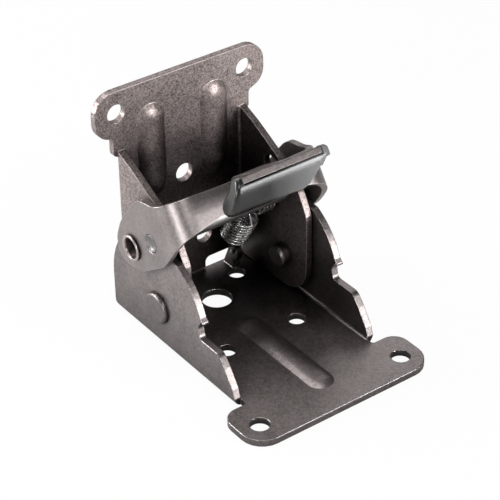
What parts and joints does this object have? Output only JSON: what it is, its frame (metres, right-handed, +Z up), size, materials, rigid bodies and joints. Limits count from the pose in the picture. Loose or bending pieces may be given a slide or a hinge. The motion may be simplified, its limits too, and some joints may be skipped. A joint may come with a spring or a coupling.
{
  "type": "folding leg bracket",
  "caption": "Self-locking folding bracket for a table leg: two hinged pressed steel leaves with a spring-loaded release lever, lock pin and rubber grip",
  "frame": {"origin": "Middle of the footprint on the mounting face of the base leaf", "axes": "X across the bracket along the hinge, -Y forward to the screw ears of the base leaf, +Z up along the leg leaf"},
  "size_m": [0.054, 0.068, 0.063],
  "materials": {
    "plated_steel": "satin gunmetal plating on pressed sheet",
    "lever_steel": "smooth satin plating",
    "bright_steel": "turned and peened steel",
    "spring_steel": "bright drawn wire",
    "grip_rubber": "matt moulded rubber"
  },
  "bodies": {
    "base": {"base_leaf": "plated_steel", "hinge_rivet_left": "bright_steel", "hinge_rivet_right": "bright_steel"},
    "leg": {"leg_leaf": "plated_steel", "pivot_tube": "bright_steel", "torsion_spring_left": "spring_steel", "torsion_spring_right": "spring_steel", "pull_spring": "spring_steel"},
    "lever": {"lever_yoke": "lever_steel", "lever_eyelet_left": "bright_steel", "lever_eyelet_right": "bright_steel", "lock_pin": "bright_steel", "handle_grip": "grip_rubber"}
  },
  "joints": [
    {"name": "leg_fold", "type": "hinge", "parent": "base", "child": "leg", "pos_m": [0, 0.014, 0.0115], "axis": [1, 0, 0], "range_deg": [0, 90], "deforming": ["pull_spring"]},
    {"name": "lever_lift", "type": "hinge", "parent": "leg", "child": "lever", "pos_m": [0, 0.0207, 0.0267], "axis": [1, 0, 0], "range_deg": [-50, 0], "deforming": ["torsion_spring_left", "torsion_spring_right"]}
  ],
  "couplings": [
    {"joint": "lever_lift", "follows": "leg_fold", "ratio": -0.55}
  ]
}
